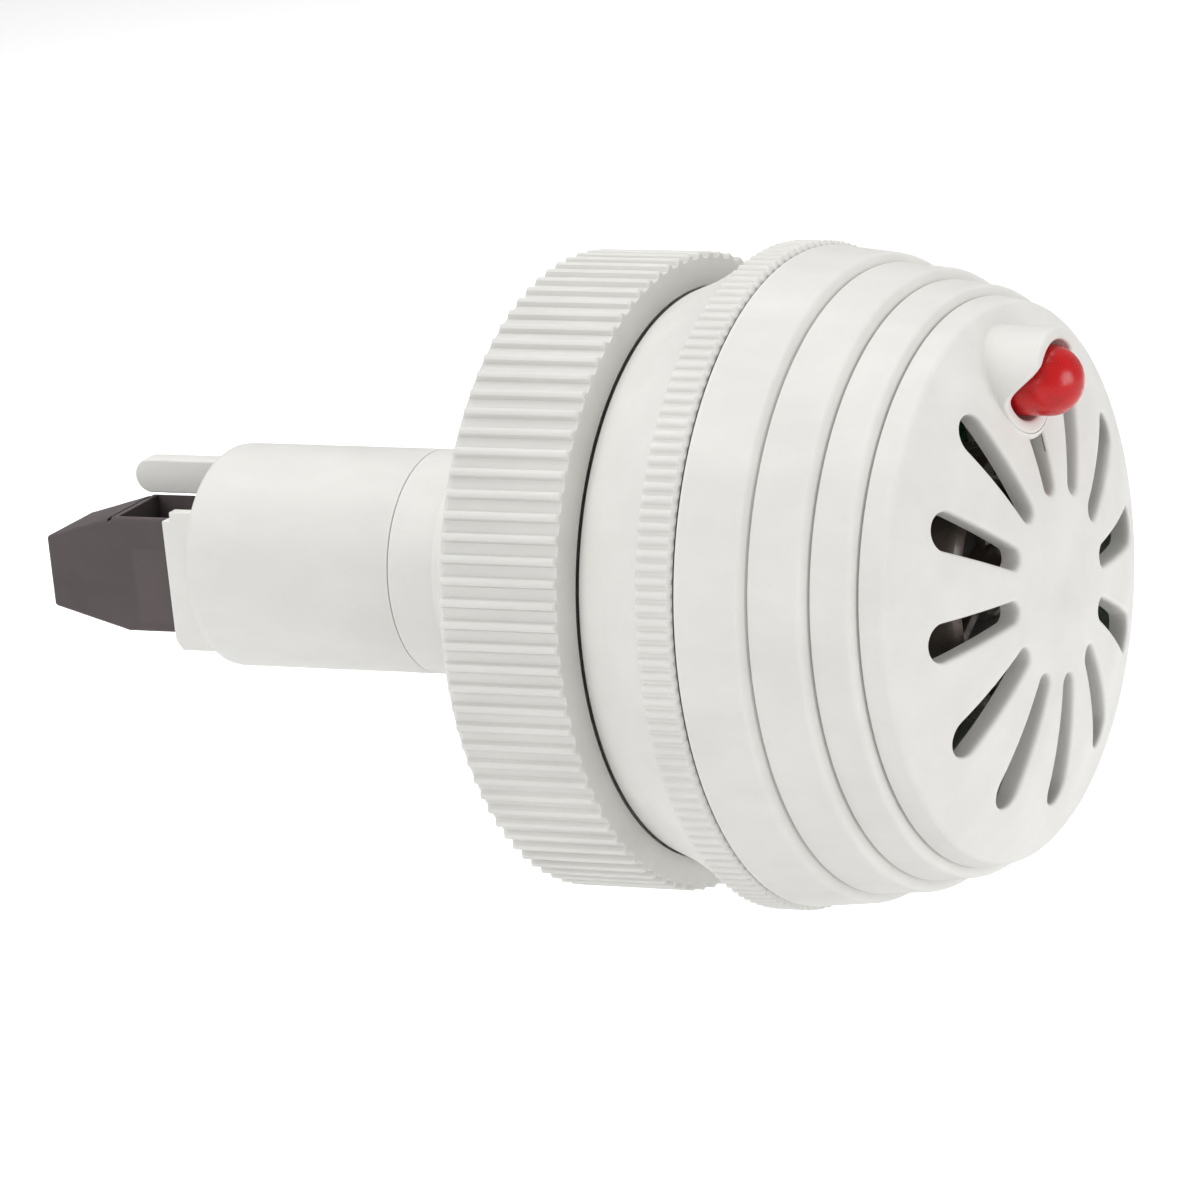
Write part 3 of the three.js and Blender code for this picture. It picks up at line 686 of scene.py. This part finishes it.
def near_slot(point, k):
    """Signed distance from a (y, z) point to slot k's mouth, below zero inside it."""
    y, z = turned_by(point, -TAU * k / SLOTS)
    slope = (SLOT_OUT_R - SLOT_IN_R) / (SLOT_OUT_C - SLOT_IN_C)
    cos = math.sqrt(1 - slope * slope)
    y = abs(y)
    along = (z - SLOT_IN_C) * cos + y * slope
    across = y * cos - (z - SLOT_IN_C) * slope
    if along < 0:
        return math.hypot(y, z - SLOT_IN_C) - SLOT_IN_R
    if k == 0:
        return max(across - SLOT_IN_R, SHORT_SLOT_END - math.hypot(y, z - LED_Z), z - LED_Z)
    if along > (SLOT_OUT_C - SLOT_IN_C) * cos:
        return math.hypot(y, z - SLOT_OUT_C) - SLOT_OUT_R
    return across - SLOT_IN_R


def strips(columns):
    """Quads between rings of equal length."""
    faces = []
    for a, b in zip(columns, columns[1:]):
        n = len(a)
        faces += [[a[i], a[(i + 1) % n], b[(i + 1) % n], b[i]] for i in range(n)]
    return faces


# ---------------------------------------------------------------- flange base


def half_round(phase, share):
    """0..1 profile of one ridge: a half circle over share of the pitch, flat between."""
    phase = (phase % 1.0 - 0.5) / (share / 2)
    return math.sqrt(max(0.0, 1 - phase * phase))


def build_base():
    count = RIM_RIDGES * 8
    groove_in, groove_out, groove_deep = 20.0, 28.6, 1.0
    core_r = THREAD_ROOT - 0.35  # the stem under its thread
    outline = [(0, SEAT_R), CREASE, SKIRT_END, (SKIRT_END[0] + 0.15, 37.25), (SKIRT_END[0] + 0.5, RIM_R), (11.2, RIM_R),
               (12.8, RIM_R), (RIM_END - 0.45, RIM_R), (RIM_END, RIM_R - 0.35), (RIM_END, 36.95), (RIM_END - 0.7, 36.9),
               (RIM_END - 0.7, SPIGOT_OUT + 0.3),
               (8.7, SPIGOT_OUT + 0.3), (8.7, 33.2), (BASE_FLOOR, 30.8), (BASE_FLOOR, STEM_BORE),
               (STEM_END, STEM_BORE), (STEM_END, TUBE_R), (THREAD_END - 1, TUBE_R), (THREAD_END - 1, core_r),
               (0, core_r), (0, groove_in), (groove_deep, groove_in), (groove_deep, groove_out),
               (0, groove_out)]
    radii = {0: 0.5, 1: 0.5, 2: 0.25, 16: 0.15, 17: 0.15, 15: 0.3, 14: 0.6}
    profile = rounded(outline, radii, steps=3)

    def knurled(i, angle, x, r):
        if r > 37.2 and x > SKIRT_END[0] + 0.05:
            depth = RIM_RIDGE_DEPTH * min(1.0, max(0.0, (RIM_END - x) / 0.3), max(0.0, (x - SKIRT_END[0]) / 0.3))
            return r - RIM_RIDGE_DEPTH + depth * half_round(angle / TAU * RIM_RIDGES, 0.66)
        return r

    parts = [revolved(profile, count, radius_at=knurled)]
    # the stem's thread, cut through by the keyway
    around, per_pitch = 120, 8
    step = THREAD_PITCH / per_pitch
    rows = [(-0.02, STEM_BORE + 0.6), (-0.02, THREAD_ROOT)]
    levels = int((-THREAD_END + 0.8) / step)
    rows += [(-0.4 - step * i, THREAD_R) for i in range(levels)]
    rows += [(THREAD_END - 1, THREAD_ROOT - 0.4), (THREAD_END - 1, STEM_BORE + 0.6)]

    def threaded(i, angle, x, r):
        if r < THREAD_R - 0.01:
            return r
        phase = (x / THREAD_PITCH + angle / TAU) % 1.0
        rise = min(1.0, max(0.0, (abs(phase - 0.5) * 2 - 0.18) / 0.6))
        fade = min(1.0, max(0.0, (x - THREAD_END) / 1.6))
        radius = THREAD_ROOT + (THREAD_R - THREAD_ROOT) * (1 - rise) * fade
        if math.cos(angle) > 0 and abs(radius * math.sin(angle)) < KEYWAY_HALF:
            radius = min(radius, KEYWAY_FLOOR / math.cos(angle))
        return radius

    parts.append(revolved(rows, around, radius_at=threaded))
    post = rounded([(2.6, 0), (2.6, 4.0), (3.4, 3.2), (15.7, 3.2), (15.7, 1.6), (7.5, 1.6), (7.5, 0)],
                   {1: 0.3, 3: 0.2})
    for degrees in (60, 180, 300):
        a = math.radians(degrees)
        parts.append(revolved(post, 32, y=POST_CIRCLE * math.sin(a), z=POST_CIRCLE * math.cos(a)))
    place("flange_base_shell", mesh_of(*joined(*parts)), grey, "housing", "grey_plastic", "flange_base")


def build_nut():
    per_ridge = 12
    count = RIDGES * per_ridge
    pocket_x, pocket_in, pocket_out, hub_end = -5.0, 19.5, 32.0, -13.0
    ribs = 12
    outline = [(NUT_BACK, 34.9), (NUT_BACK + 0.5, NUT_SHOULDER), (NUT_BACK + 0.75, NUT_TIP), (-8, NUT_TIP),
               (NUT_FRONT - 0.3, NUT_TIP), (NUT_FRONT - 0.05, NUT_TIP - 0.25), (NUT_FRONT, NUT_SHOULDER - 0.2),
               (NUT_LIP, NUT_RECESS),
               (-2.2, NUT_RECESS), (-2.2, NUT_BORE + 0.5), (-2.8, NUT_BORE), (hub_end + 0.6, NUT_BORE),
               (hub_end, NUT_BORE + 0.6), (hub_end, pocket_in), (pocket_x, pocket_in + 0.001),
               (pocket_x, pocket_in + 2), (pocket_x, (pocket_in + pocket_out) / 2), (pocket_x, pocket_out - 2),
               (pocket_x, pocket_out), (NUT_BACK, pocket_out + 0.3)]
    profile = rounded(outline, {0: 0.2, 7: 0.2, 13: 0.4, 19: 0.4}, steps=3)

    def knurled(i, angle, x, r):
        if r > NUT_SHOULDER + 0.1:
            share = (r - NUT_SHOULDER) / (NUT_TIP - NUT_SHOULDER)
            ridge = (NUT_TIP - NUT_ROOT) * half_round(angle / TAU * RIDGES, 0.5)
            return NUT_SHOULDER + share * (NUT_ROOT - NUT_SHOULDER + ridge)
        return r

    def ribbed(i, angle, x, r):
        if abs(x - pocket_x) < 0.01 and pocket_in < r < pocket_out + 0.01:
            turn = abs((angle / TAU * ribs + 0.5) % 1.0 - 0.5) * TAU / ribs
            if turn * 26 < 1.0:
                return -12.0
        return x

    place("ring_nut_shell", mesh_of(*revolved(profile, count, radius_at=knurled, x_at=ribbed)), nut_grey, "nut",
          "grey_plastic", "ring_nut")


# ---------------------------------------------------------------- rear tube, plug


def build_tube():
    bore, latch_x, latch_z, latch_r = 10.4, -75.8, 7.95, 2.05
    root = TUBE_BACK + 1  # the cheeks and the latch start inside the tube's end
    seam = STEM_END - 0.07  # a hairline between the tube and the stem
    profile = [(TUBE_BACK, 0), (TUBE_BACK, TUBE_R), (seam, TUBE_R), (seam, 10.9), (-30, 10.9), (-30, 9.4), (-37, 9.4),
               (-37, bore), (TUBE_SOLID_END, bore), (TUBE_SOLID_END, 0)]
    body = turned(profile, 128, {1: 2.0, 2: 0.12, 4: 0.3})
    cheek = [(root, -9.9), (-67.6, -9.9), (-68.4, -8.7), (-68.4, 5.7), (-67.3, 5.7), (-67.3, 6.8), (root, 6.8)]
    cheeks = [bevelled(mesh_of(*prism(cheek, *span, 1)), 0.22) for span in ((-6.9, -5.4), (5.4, 6.9))]
    rib = [(root, 5.9)]
    for degrees in range(270, 89, -12):
        a = math.radians(degrees)
        rib.append((latch_x + latch_r * math.cos(a), latch_z + latch_r * math.sin(a)))
    rib.append((root, 10.0))
    latch = bevelled(mesh_of(*prism(rib, 3.6, 6.2, 1)), 0.35, segments=3, angle=50)
    whole = cut(body, *cheeks, latch, how="UNION")
    socket = box_mesh((-90, -5.38, -8.65), (-62, 5.38, 5.7))
    pins = [turned([(-64, 0), (-64, 0.9), (-54, 0.9), (-54, 0)], 24, y=y, z=PIN_Z) for y in POLES]
    place("rear_tube_shell", cut(whole, socket, *pins), grey, "housing", "grey_plastic", "rear_tube", angle=28)


def build_plug():
    back, front, half, low, high = -85.5, -62.3, 5.08, -8.35, 5.4
    side = [(back, -5.6), (-75.7, low), (front, low), (front, high), (-76.2, high), (back, 2.8)]
    body = bevelled(mesh_of(*prism(side, -half, half, 1)), 0.35, segments=3)
    cutters = [box_mesh((-75.6, -4.5, 2.2), (-61, 4.5, high + 1)),
               box_mesh((-76.9, -half - 1, high - 0.55), (-76.35, half + 1, high + 1))]
    for y in POLES:
        cutters.append(box_mesh((-74, y - 2.15, -7.2), (-68.2, y + 2.15, 1.6)))
        cutters.append(box_mesh((-86, y - 1.9, -5.0), (-73.9, y + 1.9, -1.7)))
        cutters.append(box_mesh((-68.3, y - 1.4, -4.15), (-62, y + 1.4, -1.35)))
        cutters.append(post_mesh(SCREW_X, y, 1, 3, 1.5, 32))
    whole = cut(body, *cutters)
    place("plug_shell", bevelled(whole, 0.12, 1, 40), dark, "plug", "dark_plastic", "plug_housing", angle=25)


def post_mesh(x, y, z0, z1, r, count=40, round_top=0.0):
    """A round post along Z."""
    profile = rounded([(z0, 0), (z0, r), (z1, r), (z1, 0)], {2: round_top}, steps=4)
    verts, faces = revolved(profile, count)
    return mesh_of([(x + v[1], y - v[2], v[0]) for v in verts], faces)


def build_screws():
    for i, y in enumerate(POLES, 1):
        head = post_mesh(SCREW_X, y, 2.5, 3.9, 1.75, 48, round_top=0.3)
        slot = box_mesh((SCREW_X - 2, y - 0.3, 3.2), (SCREW_X + 2, y + 0.3, 4.5))
        head = cut(head, slot)
        rows = [(-2.2, 0.0), (-2.2, 0.85)] + [(-2.0 + 0.1 * k, 1.2) for k in range(45)] + [(2.55, 1.0), (2.55, 0.0)]

        def threaded(j, angle, x, r):
            if r < 1.15:
                return r
            return r - 0.28 * abs((x / 0.45 + angle / TAU) % 1.0 - 0.5) * 2

        verts, faces = revolved(rows, 32, radius_at=threaded)
        shank = mesh_of([(SCREW_X + v[1], y - v[2], v[0]) for v in verts], faces)
        place(f"clamp_screw_{i}_turned", cut(head, shank, how="UNION"), steel, f"screw_{i}", "screw_steel",
              f"clamp_screw_{i}")


# ---------------------------------------------------------------- the rest


def build_lamp():
    arc = [(LED_CENTRE + LED_R * math.sin(a), LED_R * math.cos(a)) for a in
           [math.radians(6 * k) for k in range(16)]]
    arc[-1] = (LED_CENTRE + LED_R, 0)
    profile = [(LED_BACK, 0), (LED_BACK, 4.25), (LED_BACK + 1, 4.25), (LED_BACK + 1, LED_R), *arc]
    place("led_lens_dome", turned(profile, 96, {1: 0.12, 2: 0.12}, z=LED_Z), lens, "housing", "red_lens", "led_lens")


def build_turned_pieces():
    washer = [(WASHER_BACK, NUT_BORE), (WASHER_FRONT, NUT_BORE), (WASHER_FRONT, WASHER_R), (WASHER_BACK, WASHER_R)]
    ring = mesh_of(*revolved(rounded(washer, {0: 0.15, 1: 0.15, 2: 0.3, 3: 0.3}), 192))
    key = bevelled(box_mesh((WASHER_BACK, -1.2, 13.9), (WASHER_FRONT, 1.2, NUT_BORE + 1)), 0.12)
    place("slip_washer_ring", cut(ring, key, how="UNION"), nylon, "washer", "nylon", "slip_washer")
    gasket = [(-0.3, 20.3), (0.7, 20.3), (0.7, 28.3), (-0.3, 28.3)]
    place("panel_gasket_ring", turned(gasket, 192, {0: 0.3, 3: 0.3}), rubber, "housing", "seal_rubber", "panel_gasket")
    seal = [(9.0, 33.4), (10.3, 33.4), (10.3, 34.3), (9.0, 34.3)]
    place("cap_seal_ring", turned(seal, 192, {0: 0.3, 1: 0.3, 2: 0.3, 3: 0.3}), rubber, "housing", "seal_rubber",
          "cap_seal")
    r, back, front = 15.5, 17.9, 37.8
    shell = [(back, r - 1.4), (back, r), (front - 1.2, r), (front - 0.35, r - 0.35), (front, r - 1.2), (front, r - 2),
             (32, 12.4), (30, 12.4), (30, r - 1.4)]
    place("transducer_can", turned(shell, 144, {3: 0.6, 4: 0.5, 5: 0.4}), black, "housing", "black_plastic",
          "transducer_housing")
    cone_profile = [(29.6, 0), (29.6, 3.6), (32.9, 11.8), (33.2, 11.8), (30.3, 3.4), (30.3, 0)]
    place("transducer_cone_film", turned(cone_profile, 96, {4: 0.6}), cone, "housing", "black_plastic",
          "transducer_cone")
    nose = revolved(rounded([(33.5, 0), (33.5, 4.6), (35.5, 4), (36.8, 2.4), (37.2, 0)], {1: 0.3, 2: 1.2, 3: 1}), 64)
    hoop = revolved(rounded([(33.5, 11.4), (34.8, 11.4), (34.8, 12.0), (33.5, 12.0)], {1: 0.2, 2: 0.2}), 96)
    spokes = []
    for k in range(3):
        spoke = bevelled(box_mesh((33.6, -0.8, 3.5), (34.75, 0.8, 11.7)), 0.2)
        spoke.transform(Matrix.Rotation(-TAU * k / 3, 4, "X"))
        spokes.append(spoke)
    place("phase_plug_moulding", cut(mesh_of(*nose), mesh_of(*hoop), *spokes, how="UNION"), black, "housing",
          "black_plastic", "phase_plug")
    place("piezo_disc_plate", turned([(28.4, 0), (28.4, 8.5), (29.3, 8.5), (29.3, 0)], 96, {1: 0.1, 2: 0.1}), piezo,
          "housing", "piezo_brass", "piezo_disc")
    spacer = [(17.9, 2.5), (17.9, LED_R), (35.2, LED_R), (35.2, 2.5)]
    place("led_spacer_tube", turned(spacer, 64, {1: 0.2, 2: 0.2}, z=LED_Z), nylon, "housing", "nylon", "led_spacer")
    can = [(4.7, 0), (4.7, 4.5), (5.1, 5), (14.2, 5), (14.8, 4.65), (15.3, 4.9), (15.6, 4.7), (15.6, 0)]
    place("capacitor_can", turned(can, 64, {1: 0.3, 2: 0.2, 3: 0.4, 4: 0.3}, y=-15, z=-15), sleeve, "housing",
          "capacitor_sleeve", "capacitor")


def build_small_pieces():
    """Softened copies of the pieces whose CAD shape is already right."""
    todo = [("header_block", nylon, "nylon", 0.25), ("circuit_board", board, "board_green", 0.1),
            ("transformer_core", ferrite, "ferrite", 0.2), ("transformer_coil", winding, "winding", 0.3),
            ("driver_chip", epoxy, "epoxy", 0.12), ("transistor", epoxy, "epoxy", 0.12),
            ("transducer_plate", backing, "backing_plate", 0.15)]
    todo += [(f"header_pin_{i}", tinned, "tinned_metal", 0.12) for i in (1, 2)]
    todo += [(f"led_lead_{i}", tinned, "tinned_metal", 0.08) for i in (1, 2)]
    todo += [(f"board_screw_{i}", steel, "screw_steel", 0.15) for i in (1, 2, 3)]
    todo += [(f"resistor_{i}", resistor_paint, "resistor_body", 0.1) for i in (1, 2, 3)]
    for node, material, slot, width in todo:
        place(node + "_piece", copied(node, width), material, "housing", slot, node)
    for i in (1, 2):
        place(f"plug_contact_{i}_piece", copied(f"plug_contact_{i}", 0.08), tinned, "plug", "tinned_metal",
              f"plug_contact_{i}")
        place(f"clamp_cage_{i}_piece", copied(f"clamp_cage_{i}", 0.12), brass, f"cage_{i}", "brass",
              f"clamp_cage_{i}")


def build_leads():
    """Insulated wires as round tubes along the routes of their CAD solids."""
    for i, (y, colour, slot) in enumerate(zip(POLES, (black_lead, red_lead), ("black_lead", "red_lead")), 1):
        side = math.copysign(1, y)
        supply = [(-45.6, y, PIN_Z), (-36, y * 1.1, -3.2), (-20, side * 3.6, -1.4), (-4, side * 3.2, -3.6),
                  (8, side * 4, -6), (15.7, side * 4, -6.2)]
        drive = [(17.9, side * 6, 0), (20.5, side * 5.2, 0), (24.5, side * 4.9, 0), (28.1, side * 4.4, 0.6)]
        place(f"supply_lead_{i}_wire", tube(supply, 0.78), colour, "housing", slot, f"supply_lead_{i}")
        place(f"transducer_lead_{i}_wire", tube(drive, 0.48), colour, "housing", slot, f"transducer_lead_{i}")


def tube(route, radius, per_span=10, sides=20):
    """A round tube along a Catmull-Rom curve through the route."""
    pts = [Vector(p) for p in route]
    ends = [pts[0] * 2 - pts[1], *pts, pts[-1] * 2 - pts[-2]]
    line = []
    for i in range(1, len(ends) - 2):
        a, b, c, d = ends[i - 1:i + 3]
        for k in range(per_span):
            t = k / per_span
            line.append(0.5 * (2 * b + (c - a) * t + (2 * a - 5 * b + 4 * c - d) * t * t
                               + (3 * b - a - 3 * c + d) * t ** 3))
    line.append(pts[-1])
    verts, columns = [], []
    up = Vector((0, 0, 1))
    for i, p in enumerate(line):
        along = (line[min(i + 1, len(line) - 1)] - line[max(i - 1, 0)]).normalized()
        side = along.cross(up).normalized()
        top = side.cross(along)
        columns.append(list(range(len(verts), len(verts) + sides)))
        verts += [tuple(p + side * radius * math.cos(TAU * k / sides) + top * radius * math.sin(TAU * k / sides))
                  for k in range(sides)]
    faces = strips(columns) + [columns[0], list(reversed(columns[-1]))]
    return mesh_of(verts, faces)


# ---------------------------------------------------------------- floor, light, camera


def build_stage():
    m = Maker("studio_floor", (0.92, 0.92, 0.92), 0.9, specular=0.0)
    m.colour(m.mix(m.spread(m.noise(60, 3), 0.3, 0.7), (0.94, 0.94, 0.94), (0.93, 0.93, 0.93)))
    mesh = mesh_of([(-9000, -9000, 0), (9000, -9000, 0), (9000, 9000, 0), (-9000, 9000, 0)], [[0, 1, 2, 3]])
    mesh.materials.append(m.mat)
    floor = bpy.data.objects.new("studio_floor", mesh)
    floor.location = (0, 0, FLOOR_Z)
    bpy.context.scene.collection.objects.link(floor)


def area_light(name, place_at, aim, size, power, spread=180):
    data = bpy.data.lights.new(name, "AREA")
    data.shape = "DISK"
    data.size = size
    data.energy = power
    data.spread = math.radians(spread)
    light = bpy.data.objects.new(name, data)
    light.location = place_at
    light.rotation_euler = (Vector(aim) - Vector(place_at)).to_track_quat("-Z", "Y").to_euler()
    bpy.context.scene.collection.objects.link(light)


def build_light():
    world = bpy.data.worlds.new("studio")
    world.use_nodes = True
    world.node_tree.nodes["Background"].inputs["Color"].default_value = (1, 1, 1, 1)
    world.node_tree.nodes["Background"].inputs["Strength"].default_value = 0.42
    bpy.context.scene.world = world
    bpy.context.scene.view_settings.view_transform = "Standard"
    area_light("backdrop", (-0.26, 0.45, 1.0), (-0.26, 0.45, 0), 0.7, 2.2, spread=70)
    area_light("key", (1.2, -0.03, 0.1), (0, 0, 0), 0.9, 7.8)
    area_light("fill", (-0.45, -1.1, 0.55), (0, 0, 0), 0.9, 6.4)
    area_light("top", (-0.1, -0.15, 1.2), (0, 0, 0), 0.6, 3.2)


def build_camera():
    """A long lens above and to the left of the front, rolled a little."""
    data = bpy.data.cameras.new("camera")
    data.lens = 300
    data.sensor_width = 36
    data.clip_start = 0.05
    data.clip_end = 60
    camera = bpy.data.objects.new("camera", data)
    bpy.context.scene.collection.objects.link(camera)
    back = Vector((0.479, -0.8434, 0.2430)).normalized()
    up = Vector((-0.0343, 0.2588, 0.9653))
    up = (up - back * up.dot(back)).normalized()
    right = up.cross(back)
    spot = Vector((-14.9, 0, 0)) - 3.754 * up + 1137.7 * back
    turn = Matrix((right, up, back)).transposed()
    about_axis = Matrix.Rotation(math.radians(-1.3), 4, "X")
    camera.matrix_world = about_axis @ Matrix.Translation(spot * MM) @ turn.to_4x4()
    bpy.context.scene.camera = camera


build_camera()
build_cap()
build_base()
build_nut()
build_tube()
build_plug()
build_screws()
build_lamp()
build_turned_pieces()
build_small_pieces()
build_leads()
build_stage()
build_light()
